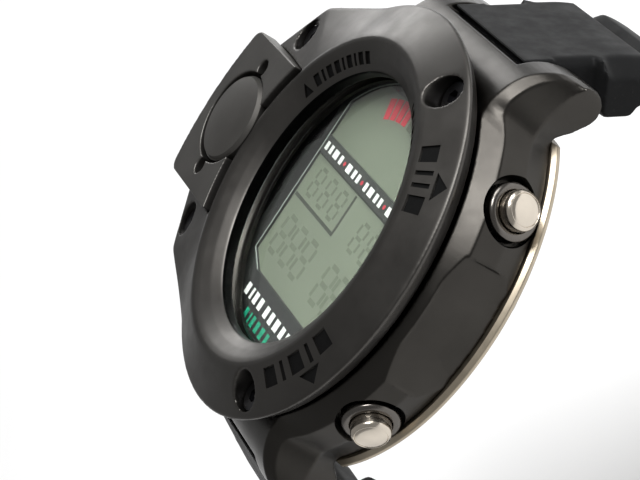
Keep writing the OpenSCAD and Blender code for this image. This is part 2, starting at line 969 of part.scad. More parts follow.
case_body();
case_back();
back_gasket();
back_screws();
bezel();
bezel_screws();
crystal();
crystal_gasket();
sensor_guard();
sensor_cap();
sensor_body();
sensor_seal();
sensor_leads();
dial_mask();
lcd_panel();
backlight_panel();
module_frame();
circuit_board();
processor_chip();
battery();
battery_clamp();
alarm_disc();
button_tube(1);  // button_tube_upper
button(1);  // button_upper
button_spring(1);  // button_spring_upper
button_seal(1);  // button_seal_upper
button_clip(1);  // button_clip_upper
button_tube(-1);  // button_tube_lower
button(-1);  // button_lower
button_spring(-1);  // button_spring_lower
button_seal(-1);  // button_seal_lower
button_clip(-1);  // button_clip_lower
spring_bar(1);  // spring_bar_upper
spring_bar(-1);  // spring_bar_lower
strap_upper();
strap_lower();
strap_keeper();
buckle_frame();
buckle_bar();
buckle_tongue();
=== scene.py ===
"""Looks of a wrist dive computer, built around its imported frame.

Shapes are made in millimetres in the part's own frame and scaled to metres when they are placed.
"""
import math

import bmesh
import bpy
from mathutils import Matrix, Vector


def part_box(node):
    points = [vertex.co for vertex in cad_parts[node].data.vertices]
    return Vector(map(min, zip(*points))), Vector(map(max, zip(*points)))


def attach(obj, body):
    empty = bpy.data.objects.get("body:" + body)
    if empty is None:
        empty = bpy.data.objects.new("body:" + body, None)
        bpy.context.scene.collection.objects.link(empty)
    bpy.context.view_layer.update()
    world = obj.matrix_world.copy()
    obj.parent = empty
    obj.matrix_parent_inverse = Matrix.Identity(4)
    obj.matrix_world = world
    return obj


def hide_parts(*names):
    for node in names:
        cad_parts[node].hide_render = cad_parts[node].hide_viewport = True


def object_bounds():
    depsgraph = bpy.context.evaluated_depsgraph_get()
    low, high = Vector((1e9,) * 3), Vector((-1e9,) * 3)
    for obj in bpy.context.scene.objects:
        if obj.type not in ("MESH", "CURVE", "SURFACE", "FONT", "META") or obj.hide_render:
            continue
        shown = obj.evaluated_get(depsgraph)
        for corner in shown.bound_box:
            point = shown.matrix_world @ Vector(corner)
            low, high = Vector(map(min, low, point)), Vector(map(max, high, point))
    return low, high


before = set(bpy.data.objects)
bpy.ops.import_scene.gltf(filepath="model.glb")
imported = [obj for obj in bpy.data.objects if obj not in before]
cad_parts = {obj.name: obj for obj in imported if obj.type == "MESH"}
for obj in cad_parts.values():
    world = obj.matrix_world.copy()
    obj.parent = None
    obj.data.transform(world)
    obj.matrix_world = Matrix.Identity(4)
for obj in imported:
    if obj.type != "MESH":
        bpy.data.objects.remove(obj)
cad_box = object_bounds()

MM = 0.001
COARSE = 1.0


# ---------------------------------------------------------------- sizes from the frame

def mm_box(node):
    low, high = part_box(node)
    return low / MM, high / MM


RIM_R = mm_box("bezel")[1].x
BACK_R = mm_box("case_back")[1].x
FLANK_R = 25.5
CASE_TOP = 12.0
CASE_LOW = 3.7
CAVITY_R = 18.6
CAVITY_TOP = 10.6
WINDOW_R = 16.3
WELL_R = 17.45
SHELF_LOW = 11.05
GLASS_SEAT_R = 17.9
GLASS_SEAT_Z = 11.5
NECK_R = 18.9
NECK_TOP = 13.55
OPENING_R = 16.0
SENSOR_X = -25.0
CAP_R = 5.45
GUARD_TOP = mm_box("sensor_guard")[1].z
GUARD_HALF_Y = mm_box("sensor_guard")[1].y
GUARD_SEAT = 15.2
LUG_GAP = 20.0
BAR_Y = 24.0
BAR_Z = 4.6
BUTTON_TURN = math.radians(31.4)
BUTTON_Z = 7.1
LCD_TOP = mm_box("lcd_panel")[1].z
MASK_TOP = mm_box("dial_mask")[1].z
SCREW_RING = (21.75, math.radians(59.9))
SCREW_SHELF = (-24.0, 12.8)
SCREW_HEAD_Z = 13.34
BACK_SCREWS = ((21.1, 4.5), (21.1, -4.5), (-17.0, 13.3), (-17.0, -13.3))
TUBE_IN = 18.75
TUBE_R = 2.9
COLLAR_IN = 23.42
COLLAR_OUT = 25.5
COLLAR_R = 3.1
COLLAR_BORE_R = 2.25
SPRING_FLOOR = 21.2
KNOB_OUT = 27.3


# ---------------------------------------------------------------- small maths

def mix(a, b, t):
    return a + (b - a) * t


def step_up(low, high, x):
    t = min(max((x - low) / (high - low), 0.0), 1.0)
    return t * t * (3 - 2 * t)


def disc(radius, y):
    return math.sqrt(max(radius * radius - y * y, 0.0))


def soft_max(a, b, width):
    return 0.5 * (a + b + math.sqrt((a - b) ** 2 + width * width))


def soft_min(a, b, width):
    return 0.5 * (a + b - math.sqrt((a - b) ** 2 + width * width))


def curve(*points):
    """A smooth function through (place, value) points, flat beyond both ends."""
    xs = [p[0] for p in points]
    ys = [p[1] for p in points]
    last = len(points) - 1
    slopes = [0.0] * len(points)
    for i in range(1, last):
        slopes[i] = (ys[i + 1] - ys[i - 1]) / (xs[i + 1] - xs[i - 1])

    def value(x):
        if x <= xs[0]:
            return ys[0]
        if x >= xs[last]:
            return ys[last]
        i = max(k for k in range(last) if xs[k] <= x)
        h = xs[i + 1] - xs[i]
        t = (x - xs[i]) / h
        return (
            ys[i] * (1 + 2 * t) * (1 - t) ** 2
            + slopes[i] * h * t * (1 - t) ** 2
            + ys[i + 1] * t * t * (3 - 2 * t)
            + slopes[i + 1] * h * t * t * (t - 1)
        )

    return value


def fillet(points, radius, steps=4):
    """Rounds the corners of a closed outline, apart from those on the axis."""
    out = []
    count = len(points)
    for i, p in enumerate(points):
        here = Vector(p)
        before = Vector(points[i - 1]) - here
        after = Vector(points[(i + 1) % count]) - here
        room = min(before.length, after.length) * 0.45
        r = radius[i] if isinstance(radius, (list, tuple)) else radius
        if p[0] < 1e-6 or r <= 0 or room < 1e-4:
            out.append(tuple(here))
            continue
        reach = min(r, room)
        a = here + before.normalized() * reach
        b = here + after.normalized() * reach
        for k in range(steps + 1):
            t = k / steps
            out.append(tuple(a * (1 - t) ** 2 + here * 2 * t * (1 - t) + b * t * t))
    return out


# ---------------------------------------------------------------- mesh helpers

def new_object(name, verts, faces):
    mesh = bpy.data.meshes.new(name)
    mesh.from_pydata([tuple(v) for v in verts], [], faces)
    bm = bmesh.new()
    bm.from_mesh(mesh)
    bmesh.ops.remove_doubles(bm, verts=bm.verts, dist=1e-5)
    bmesh.ops.dissolve_degenerate(bm, edges=bm.edges, dist=1e-6)
    bmesh.ops.recalc_face_normals(bm, faces=bm.faces)
    bm.to_mesh(mesh)
    bm.free()
    obj = bpy.data.objects.new(name, mesh)
    bpy.context.scene.collection.objects.link(obj)
    return obj


def loft(name, rings, loop=False):
    """Skin over rings of points; a loop closes on itself, and other lofts get end caps."""
    count = len(rings[0])
    total = len(rings)
    faces = []
    for i in range(total if loop else total - 1):
        a = i * count
        b = (i + 1) % total * count
        for k in range(count):
            m = (k + 1) % count
            faces.append((a + k, a + m, b + m, b + k))
    if not loop:
        faces.append(tuple(reversed(range(count))))
        faces.append(tuple(range((total - 1) * count, total * count)))
    return new_object(name, [p for ring in rings for p in ring], faces)


def lathe(name, profile, steps=160):
    """Turns a closed (radius, height) outline about Z."""
    rings = []
    for i in range(steps):
        a = 2 * math.pi * i / steps
        rings.append([(r * math.cos(a), r * math.sin(a), z) for r, z in profile])
    return loft(name, rings, loop=True)


def prism(name, outline, low, high):
    """Upright solid over an (x, y) outline."""
    return loft(name, [[(x, y, z) for x, y in outline] for z in (low, high)])


def sloped_slab(name, shapes, low, high):
    """Slabs over (x, y) outlines, each between two offsets from a surface given by radius."""
    verts, faces = [], []
    for outline, surface in shapes:
        start = len(verts)
        count = len(outline)
        for offset in (low, high):
            verts += [(x, y, surface(math.hypot(x, y)) + offset) for x, y in outline]
        faces.append([start + count + k for k in range(count)])
        faces.append([start + k for k in reversed(range(count))])
        for k in range(count):
            m = (k + 1) % count
            faces.append([start + k, start + m, start + count + m, start + count + k])
    return new_object(name, verts, faces)


def block(name, low, high):
    outline = [(low[0], low[1]), (high[0], low[1]), (high[0], high[1]), (low[0], high[1])]
    return prism(name, outline, low[2], high[2])


def rod(name, radius, low, high, steps=64):
    return lathe(name, [(0, low), (radius, low), (radius, high), (0, high)], steps)


def moved(obj, matrix):
    obj.data.transform(matrix)
    return obj


def apply_all(obj):
    """Turns an object's modifiers into its mesh."""
    graph = bpy.context.evaluated_depsgraph_get()
    mesh = bpy.data.meshes.new_from_object(obj.evaluated_get(graph))
    obj.modifiers.clear()
    obj.data = mesh
    return obj


def combine(obj, others, operation):
    for other in others:
        mod = obj.modifiers.new(operation, "BOOLEAN")
        mod.operation = operation
        mod.solver = "MANIFOLD"
        mod.object = other
        other.hide_render = True
    apply_all(obj)
    for other in others:
        bpy.data.objects.remove(other)
    return obj


def cut(obj, *others):
    return combine(obj, others, "DIFFERENCE")


def join(obj, *others):
    return combine(obj, others, "UNION")


def soften(obj, voxel, passes, share=1.0):
    """Rounds every edge a little, as casting and blasting do."""
    mod = obj.modifiers.new("voxels", "REMESH")
    mod.mode = "VOXEL"
    mod.voxel_size = voxel * COARSE
    mod = obj.modifiers.new("soft", "SMOOTH")
    mod.factor = 0.5
    mod.iterations = max(1, round(passes / COARSE))
    if share < 1:
        mod = obj.modifiers.new("fewer", "DECIMATE")
        mod.ratio = share
    return apply_all(obj)


def copy_of(node):
    """A copy of a CAD node's mesh, in millimetres."""
    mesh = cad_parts[node].data.copy()
    mesh.transform(Matrix.Scale(1 / MM, 4))
    mesh.materials.clear()
    obj = bpy.data.objects.new(node + "_copy", mesh)
    bpy.context.scene.collection.objects.link(obj)
    bm = bmesh.new()
    bm.from_mesh(mesh)
    bmesh.ops.remove_doubles(bm, verts=bm.verts, dist=1e-4)
    bm.to_mesh(mesh)
    bm.free()
    return obj


def place(obj, name, body, material, replaces=(), smooth=True):
    """Scales a finished piece to metres and ties it to its body and material."""
    obj.name = name
    obj.data.transform(Matrix.Scale(MM, 4))
    obj.data.polygons.foreach_set("use_smooth", [smooth] * len(obj.data.polygons))
    obj.data.materials.clear()
    obj.data.materials.append(material)
    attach(obj, body)
    if replaces:
        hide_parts(*replaces)
    return obj


def crease(obj, degrees=35):
    """Keeps edges sharper than this angle crisp under smooth shading."""
    obj.data.polygons.foreach_set("use_smooth", [True] * len(obj.data.polygons))
    bm = bmesh.new()
    bm.from_mesh(obj.data)
    for edge in bm.edges:
        if len(edge.link_faces) == 2 and edge.calc_face_angle() > math.radians(degrees):
            edge.smooth = False
    bm.to_mesh(obj.data)
    bm.free()
    return obj


# ---------------------------------------------------------------- materials

class Nodes:
    """A material's node tree with a Principled shader and short ways to add to it."""

    def __init__(self, name):
        self.material = bpy.data.materials.new(name)
        self.material.use_nodes = True
        self.tree = self.material.node_tree
        self.shader = self.tree.nodes["Principled BSDF"]
        self.output = self.tree.nodes["Material Output"]
        self.coords = self.add("ShaderNodeTexCoord").outputs["Object"]

    def add(self, kind, **values):
        node = self.tree.nodes.new(kind)
        for key, value in values.items():
            setattr(node, key, value)
        return node

    def link(self, a, b):
        self.tree.links.new(a, b)

    def set(self, **values):
        for key, value in values.items():
            self.shader.inputs[key.replace("_", " ")].default_value = value

    def noise(self, size_mm, detail=3.0, rough=0.55, stretch=None):
        """Noise whose grains are about this many millimetres across."""
        node = self.add("ShaderNodeTexNoise")
        node.inputs["Scale"].default_value = 1 / (size_mm * MM)
        node.inputs["Detail"].default_value = detail
        node.inputs["Roughness"].default_value = rough
        source = self.coords
        if stretch:
            mapping = self.add("ShaderNodeMapping")
            mapping.inputs["Scale"].default_value = stretch
            self.link(self.coords, mapping.inputs["Vector"])
            source = mapping.outputs["Vector"]
        self.link(source, node.inputs["Vector"])
        return node.outputs["Fac"]

    def ramp(self, value, stops):
        node = self.add("ShaderNodeValToRGB")
        elements = node.color_ramp.elements
        while len(elements) < len(stops):
            elements.new(0.5)
        for element, (at, colour) in zip(elements, stops):
            element.position = at
            element.color = (*colour, 1) if len(colour) == 3 else colour
        self.link(value, node.inputs["Fac"])
        return node.outputs["Color"]

    def span(self, value, low, high, start=0.0, end=1.0):
        node = self.add("ShaderNodeMapRange")
        node.inputs["From Min"].default_value = start
        node.inputs["From Max"].default_value = end
        node.inputs["To Min"].default_value = low
        node.inputs["To Max"].default_value = high
        self.link(value, node.inputs["Value"])
        return node.outputs["Result"]

    def blend(self, fac, a, b):
        node = self.add("ShaderNodeMix", data_type="RGBA")
        self.link(fac, node.inputs["Factor"])
        for socket, value in ((node.inputs["A"], a), (node.inputs["B"], b)):
            if isinstance(value, tuple):
                socket.default_value = (*value, 1)
            else:
                self.link(value, socket)
        return node.outputs["Result"]

    def maths(self, operation, a, b=None):
        node = self.add("ShaderNodeMath", operation=operation)
        for socket, value in zip(node.inputs, (a, b)):
            if isinstance(value, (int, float)):
                socket.default_value = value
            elif value is not None:
                self.link(value, socket)
        return node.outputs["Value"]

    def bump(self, *layers):
        """Stacks bumps, each a (value, depth in mm, strength)."""
        normal = None
        for value, depth, strength in layers:
            node = self.add("ShaderNodeBump")
            node.inputs["Distance"].default_value = depth * MM
            node.inputs["Strength"].default_value = strength
            self.link(value, node.inputs["Height"])
            if normal:
                self.link(normal, node.inputs["Normal"])
            normal = node.outputs["Normal"]
        self.link(normal, self.shader.inputs["Normal"])


def shade(colour, factor):
    return tuple(min(c * factor, 1.0) for c in colour)


def blasted_metal(name, colour, rough=(0.34, 0.46), grain=0.05, bore_painted_shade=False):
    """Bead-blasted, hard-coated metal with faint clouds, smudges and fine pits, and optionally painted shade
    near black on the opening's bore wall.
    """
    n = Nodes(name)
    n.set(Metallic=1.0)
    clouds = n.noise(9.0, 4.0)
    base = n.ramp(clouds, [(0.3, shade(colour, 0.88)), (0.7, shade(colour, 1.1))])
    # Painted shade: the bore wall inside the opening, below the bezel's rim, is painted near black for the
    # shadow that falls there.
    if bore_painted_shade:
        split = n.add("ShaderNodeSeparateXYZ")
        n.link(n.coords, split.inputs["Vector"])
        x2 = n.maths("MULTIPLY", split.outputs["X"], split.outputs["X"])
        y2 = n.maths("MULTIPLY", split.outputs["Y"], split.outputs["Y"])
        radius = n.maths("SQRT", n.maths("ADD", x2, y2))
        inside = n.maths("LESS_THAN", radius, (OPENING_R + 0.12) * MM)
        low = n.maths("LESS_THAN", split.outputs["Z"], 15.12 * MM)
        bore = n.maths("MULTIPLY", inside, low)
        base = n.blend(bore, base, (0.004, 0.004, 0.004))
    n.link(base, n.shader.inputs["Base Color"])
    smudges = n.noise(4.0, 5.0, 0.6)
    n.link(n.span(smudges, *rough, 0.3, 0.7), n.shader.inputs["Roughness"])
    n.bump((n.noise(grain * 2.2, 2.0), 0.012, 0.35), (n.noise(0.9, 3.0), 0.01, 0.15))
    return n.material


def turned_metal(name, colour, rough=(0.16, 0.26), grain=0.25):
    """Polished metal with faint turning lines and a few smears."""
    n = Nodes(name)
    n.set(Metallic=1.0)
    base = n.ramp(n.noise(3.0, 4.0), [(0.35, shade(colour, 0.9)), (0.7, shade(colour, 1.08))])
    n.link(base, n.shader.inputs["Base Color"])
    n.link(n.span(n.noise(1.2, 5.0), *rough, 0.3, 0.7), n.shader.inputs["Roughness"])
    lines = n.noise(grain, 2.0, 0.5, (0.25, 0.25, 4.0))
    n.bump((lines, 0.006, 0.15))
    return n.material


def moulded_rubber(name, colour, dust=0.05):
    """Matt moulded rubber: fine grain, a soft sheen and a little dust on its high spots."""
    n = Nodes(name)
    n.set(Metallic=0.0, Sheen_Weight=0.03, Sheen_Roughness=0.4, Specular_IOR_Level=0.12)
    base = n.ramp(n.noise(6.0, 4.0), [(0.3, shade(colour, 0.8)), (0.75, shade(colour, 1.3))])
    specks = n.span(n.noise(0.35, 2.0), 0.0, dust, 0.62, 0.75)
    base = n.blend(specks, base, (0.35, 0.34, 0.33))
    n.link(base, n.shader.inputs["Base Color"])
    n.link(n.span(n.noise(2.5, 4.0), 0.5, 0.68, 0.3, 0.7), n.shader.inputs["Roughness"])
    n.bump((n.noise(0.12, 2.0), 0.012, 0.4), (n.noise(2.2, 3.0), 0.03, 0.2))
    return n.material


def plastic(name, colour, rough=(0.35, 0.5), grain=0.2):
    n = Nodes(name)
    base = n.ramp(n.noise(5.0, 3.0), [(0.3, shade(colour, 0.92)), (0.7, shade(colour, 1.06))])
    n.link(base, n.shader.inputs["Base Color"])
    n.link(n.span(n.noise(1.5, 3.0), *rough, 0.3, 0.7), n.shader.inputs["Roughness"])
    n.bump((n.noise(grain, 2.0), 0.006, 0.2))
    return n.material


def ink(name, colour):
    """Screen-printed ink with slightly uneven cover; the same ink, near black, also serves as painted shade
    in the display's well.
    """
    n = Nodes(name)
    base = n.ramp(n.noise(0.4, 3.0), [(0.25, shade(colour, 0.8)), (0.6, colour)])
    n.link(base, n.shader.inputs["Base Color"])
    n.link(n.span(n.noise(0.2, 2.0), 0.55, 0.7), n.shader.inputs["Roughness"])
    n.set(Specular_IOR_Level=0.05)
    return n.material


def display_film(name, colour):
    """Reflective display behind a polariser: a soft sweep of tone and a fine cell grid."""
    n = Nodes(name)
    n.set(Metallic=0.0, Coat_Weight=0.3, Coat_Roughness=0.1)
    tone = n.noise(16.0, 1.0)
    base = n.ramp(tone, [(0.3, shade(colour, 0.9)), (0.7, shade(colour, 1.05))])
    n.link(base, n.shader.inputs["Base Color"])
    n.link(n.span(n.noise(0.15, 1.0), 0.30, 0.42), n.shader.inputs["Roughness"])
    n.bump((n.noise(0.1, 1.0), 0.002, 0.1))
    return n.material


def window_glass(name, tint):
    """Clear mineral glass that lets lamps through, with faint smears on it."""
    n = Nodes(name)
    n.set(Transmission_Weight=1.0, IOR=1.5, Base_Color=(*tint, 1))
    n.link(n.span(n.noise(6.0, 5.0), 0.0, 0.06, 0.45, 0.8), n.shader.inputs["Roughness"])
    clear = n.add("ShaderNodeBsdfTransparent")
    clear.inputs["Color"].default_value = (*shade(tint, 0.96), 1)
    path = n.add("ShaderNodeLightPath").outputs["Is Shadow Ray"]
    both = n.add("ShaderNodeMixShader")
    n.link(path, both.inputs[0])
    n.link(n.shader.outputs["BSDF"], both.inputs[1])
    n.link(clear.outputs["BSDF"], both.inputs[2])
    n.link(both.outputs["Shader"], n.output.inputs["Surface"])
    return n.material


CASE_METAL = blasted_metal("case_metal", (0.047, 0.044, 0.040), (0.28, 0.38))
# The bezel's metal carries painted shade, near black, on the bore wall inside its opening.
BEZEL_METAL = blasted_metal("bezel_metal", (0.078, 0.074, 0.069), (0.34, 0.46), 0.06, bore_painted_shade=True)
GUARD_METAL = blasted_metal("guard_metal", (0.135, 0.130, 0.122), (0.38, 0.5), 0.06)
CAP_METAL = blasted_metal("cap_metal", (0.125, 0.120, 0.112), (0.42, 0.55), 0.05)
CHAMPAGNE = turned_metal("champagne_steel", (0.62, 0.56, 0.48))
COLLAR_METAL = turned_metal("collar_steel", (0.13, 0.12, 0.11), (0.2, 0.32))
BACK_METAL = turned_metal("back_steel", (0.46, 0.40, 0.31), (0.34, 0.42))
BRIGHT_STEEL = turned_metal("bright_steel", (0.6, 0.6, 0.6), (0.2, 0.35))
BLACK_STEEL = turned_metal("black_screw", (0.05, 0.05, 0.055), (0.25, 0.4))
RUBBER = moulded_rubber("strap_rubber", (0.0065, 0.0067, 0.007), 0.02)
SEAL = moulded_rubber("seal_rubber", (0.01, 0.01, 0.01), 0.01)
MASK_FILM = plastic("mask_film", (0.010, 0.0105, 0.0095), (0.5, 0.65))
# Painted shade: near-black ink for the shadow in the display's well.
WELL_PAINTED_SHADE = ink("well_painted_shade", (0.002, 0.002, 0.002))
LCD_FILM = display_film("lcd_film", (0.150, 0.168, 0.124))
GLASS = window_glass("crystal_glass", (0.95, 0.98, 0.96))
WHITE_INK = ink("white_ink", (0.74, 0.74, 0.72))
EDGE_INK = ink("edge_ink", (0.30, 0.32, 0.30))
STRIP_FILM = plastic("strip_film", (0.022, 0.024, 0.021), (0.5, 0.65))
RED_INK = ink("red_ink", (0.52, 0.04, 0.06))
GREEN_INK = ink("green_ink", (0.015, 0.26, 0.15))
SEGMENT_INK = ink("segment_ink", (0.045, 0.050, 0.040))
GHOST_INK = ink("ghost_ink", (0.122, 0.137, 0.101))
ENGRAVED = ink("engraved_paint", (0.006, 0.006, 0.006))
BUCKLE_METAL = blasted_metal("buckle_steel", (0.30, 0.29, 0.27), (0.28, 0.4))


# ---------------------------------------------------------------- case

def screw_spots():
    r, a = SCREW_RING
    ring = [(r * math.cos(a), s * r * math.sin(a)) for s in (1, -1)]
    return ring + [(SCREW_SHELF[0], s * SCREW_SHELF[1]) for s in (1, -1)]


def on_button(side):
    """Matrix that stands an upright lathe on a button's axis, its top outwards."""
    turn = Matrix.Rotation(side * BUTTON_TURN, 4, "Z")
    return Matrix.Translation((0, 0, BUTTON_Z)) @ turn @ Matrix.Rotation(math.pi / 2, 4, "Y")


def along_x():
    return Matrix.Rotation(math.pi / 2, 4, "Y")


def case_form():
    """The case middle with its lugs, as cross-sections along Y."""
    nose_y = 27.3
    lug_top = curve((0, 13.6), (24, 13.4), (27.3, 13.8))
    lug_band = curve((0, 14.9), (24, 14.6), (27.3, 14.8))
    lug_ridge = curve((19, 16.2), (21, 15.9), (23.2, 15.4), (25.6, 15.6), (27.3, 16.0))
    lug_foot = curve((19, 14.6), (20.8, 14.3), (22.6, 14.1), (24.4, 14.5), (27.3, 15.0))
    low = curve((20.4, CASE_LOW), (22.4, 1.9), (24.6, 0.85))
    ridge_z = curve((18, 7.0), (21, 6.6), (23.4, 6.0), (25.9, 5.2), (27.3, 4.6))
    side_ridge = curve((0, 31.5), (5.2, 31.3), (9.7, 29.2), (15.2, 24.9), (18, 19.0), (20, 14))

    def section(y):
        a = abs(y)
        top = CASE_TOP if a < 19.6 else 4.2 + disc(7.75, a - 19.6)
        foot = 3.6 - disc(2.8, a - 24.6) if a > 24.6 else low(a)
        band_z = top - mix(1.9, 1.0, step_up(18, 22, a))
        right, left = [], []
        levels = (
            (FLANK_R - 0.95, lug_foot, 2.2, foot),
            (FLANK_R, lug_ridge, 0.0, ridge_z(a)),
            (FLANK_R - 0.35, lug_band, 0.4, band_z),
            (FLANK_R - 2.2, lug_top, 1.4, top),
        )
        for radius, lug, inset, z in levels:
            x = soft_max(disc(radius, a), lug(a), 0.5)
            right.append((x, y, z))
            left.append((-soft_max(x, side_ridge(a) - inset, 0.5), y, z))
        return right + left[::-1]

    count = 150
    return loft("case", [section(mix(-nose_y, nose_y, i / count)) for i in range(count + 1)])


def strap_slots():
    """Cutters for the gaps that the strap ends sit in."""
    half = LUG_GAP / 2
    cutters = []
    for side in (1, -1):
        wall = sorted((side * 25.0, side * 32))
        under = sorted((side * (BAR_Y - 3.2), side * 32))
        cutters.append(block("slot", (-half, wall[0], -1), (half, wall[1], 20)))
        cutters.append(block("slot", (-half, under[0], -1), (half, under[1], BAR_Z)))
        boss = moved(rod("slot", 3.5, -half, half), along_x())
        cutters.append(moved(boss, Matrix.Translation((0, side * BAR_Y, BAR_Z))))
        pin = moved(rod("pin", 0.6, -half - 2.7, half + 2.7, 24), along_x())
        cutters.append(moved(pin, Matrix.Translation((0, side * BAR_Y, BAR_Z))))
    return cutters


def build_case():
    case = case_form()
    pocket = lathe("pocket", [(24.5, 2), (30, 2), (30, 11.9), (25.6, 11.9), (24.1, 10.9), (24.1, 6.5)])
    ends = [(23.9, -7.9), (25.9, -8.7), (40, -8.7), (40, 8.0), (25.9, 8.0), (23.9, 7.2)]
    pocket = combine(pocket, [prism("ends", ends, 0, 20)], "INTERSECT")
    cut(case, pocket, *strap_slots())
    soften(case, 0.15, 3, 0.4)
    # Cut after the softening, so that their edges stay crisp
    recess = [(0, 23.25), (3.5, 23.25), (3.5, 24.6), (3.9, 25.3), (3.9, 30), (0, 30)]
    recesses = [moved(lathe("recess", recess, 120), on_button(side)) for side in (1, -1)]
    bores = [moved(rod("bore", TUBE_R + 0.06, 12, 30), on_button(side)) for side in (1, -1)]
    cavity = rod("cavity", CAVITY_R, -1, CAVITY_TOP, 144)
    under = rod("under", 26.5, -1, CASE_LOW, 144)
    lugs = [block("lugs", (-40, 20.45, -5), (40, 40, 10)), block("lugs", (-40, -40, -5), (40, -20.45, 10))]
    cut(under, *lugs)
    opening = rod("opening", WINDOW_R, 5, 20, 144)
    well = rod("well", WELL_R, 10.0, SHELF_LOW, 144)
    seat = rod("seat", GLASS_SEAT_R, GLASS_SEAT_Z, 20, 144)
    chamber = moved(rod("chamber", 4.6, 5.4, 20), Matrix.Translation((SENSOR_X, 0, 0)))
    cut(case, cavity, opening, well, seat, chamber, under, *recesses, *bores)
    neck_in, neck_low = GLASS_SEAT_R + 0.05, GLASS_SEAT_Z + 0.1
    neck = lathe("neck", [(neck_in, neck_low), (NECK_R, neck_low), (NECK_R, NECK_TOP), (neck_in, NECK_TOP)])
    join(case, neck)
    place(crease(case), "case_middle", "case", CASE_METAL, ["case_body"])


# ---------------------------------------------------------------- bezel

def bezel_reach(angle):
    """Plan radius of the bezel's edge at an angle: a circle, with the sensor shelf at 9 o'clock."""
    ux, uy = math.cos(angle), abs(math.sin(angle))
    if ux > -0.2:
        return RIM_R
    reach = 99.0
    for nx, ny, d in ((-0.35, 0.937, 24.25), (-0.801, 0.598, 29.35), (-0.90, 0.436, 30.9), (-1.0, 0.0, 32.2)):
        facing = nx * ux + ny * uy
        if facing > 0.2:
            reach = soft_min(reach, d / facing, 0.35)
    return soft_max(RIM_R, reach, 0.1)


def bezel_form():
    """The ring with its crest and one outer slope, swept about Z with a reach that varies."""
    count = 420
    rings = []
    for i in range(count):
        angle = 2 * math.pi * i / count
        reach = bezel_reach(angle)
        edge_z = 14.5 + 0.5 * step_up(0.0, 7.0, reach - RIM_R)
        profile = [(OPENING_R, 13.75), (OPENING_R, 15.05), (OPENING_R + 0.18, 15.22)]
        profile += [(17.2, 15.95), (18.4, 16.6), (19.0, 16.83), (19.45, 16.86), (20.0, 16.66)]
        profile += [(mix(20.0, reach - 0.3, t), mix(16.66, edge_z + 0.14, t)) for t in (0.25, 0.5, 0.75, 1.0)]
        profile += [
            (reach, edge_z - 0.12),
            (reach - 0.15, edge_z - 0.45),
            (reach - 0.8, 13.0),
            (reach - 1.25, 12.5),
            (19.1, 12.5),
            (19.1, 13.75),
        ]
        rings.append([(r * math.cos(angle), r * math.sin(angle), z) for r, z in profile])
    return loft("bezel", rings, loop=True)


def slope_height(r):
    """Height of the bezel's outer slope, beyond the crest."""
    return mix(16.66, 14.64, (r - 20.0) / (RIM_R - 20.3))


def inner_height(r):
    """Height of the bezel's inner slope, between the opening and the crest."""
    return curve((16.2, 15.22), (17.2, 15.95), (18.4, 16.6), (19.0, 16.83))(r)


def polar_patch(r0, r1, a0, a1, steps=6):
    """Outline between two radii and two angles in degrees."""
    angles = [math.radians(mix(a0, a1, i / steps)) for i in range(steps + 1)]
    outer = [(r1 * math.cos(a), r1 * math.sin(a)) for a in angles]
    inner = [(r0 * math.cos(a), r0 * math.sin(a)) for a in reversed(angles)]
    return outer + inner


def polar_triangle(r_base, r_tip, angle, half):
    a = math.radians(angle)
    spread = math.radians(half)
    corners = ((r_base, a - spread), (r_tip, a), (r_base, a + spread))
    return [(r * math.cos(t), r * math.sin(t)) for r, t in corners]


def engraved_marks():
    """Generic bars, ticks and triangles cut in the bezel, as (outline, height of the surface there)."""
    marks = []

    def outer_group(start, bars, triangle_at):
        a = start
        for width, gap in bars:
            marks.append((polar_patch(20.15, 22.1, a - width, a), slope_height))
            a -= width + gap
        marks.append((polar_triangle(22.55, 24.0, triangle_at, 4.0), slope_height))

    def inner_group(start, bars, triangle_at):
        a = start
        for width, gap in bars:
            marks.append((polar_patch(16.75, 17.95, a - width, a), inner_height))
            a -= width + gap
        marks.append((polar_triangle(16.65, 17.95, triangle_at, 2.4), inner_height))

    wide, thin = (5.2, 2.6), (1.4, 2.4)
    outer_group(41.5, (wide, thin, thin, wide), 29.3)
    outer_group(-20.5, (wide, thin, wide, thin, wide), -31.0)
    block_mark, tick = (3.0, 1.5), (1.3, 1.5)
    inner_group(145.5, (block_mark, tick, block_mark) * 2 + (tick, block_mark, block_mark), 150.5)
    inner_group(63.0, (tick, block_mark) * 2 + (block_mark, tick) * 2 + (block_mark,), 26.0)
    return marks


def build_bezel():
    bezel = bezel_form()
    seat = block("seat", (-45, -GUARD_HALF_Y - 0.12, GUARD_SEAT), (-10, GUARD_HALF_Y + 0.12, 30))
    seat = cut(seat, rod("ring", 19.8, 0, 40, 144))
    wells = [moved(rod("well", 2.05, 13.3, 30, 48), Matrix.Translation((x, y, 0))) for x, y in screw_spots()]
    cap_hole = moved(rod("cap", CAP_R + 0.15, 0, 30), Matrix.Translation((SENSOR_X, 0, 0)))
    cut(bezel, seat, cap_hole, *wells)
    soften(bezel, 0.17, 4, 0.5)
    marks = engraved_marks()
    depth = 0.32
    for outline, surface in marks:
        cut(bezel, sloped_slab("mark", [(outline, surface)], -depth, 2.0))
    place(crease(bezel), "bezel_ring", "case", BEZEL_METAL, ["bezel"])
    fill = sloped_slab("fill", marks, -depth - 0.1, -depth + 0.05)
    place(fill, "engraved_fill", "case", ENGRAVED, smooth=False)


# ---------------------------------------------------------------- sensor

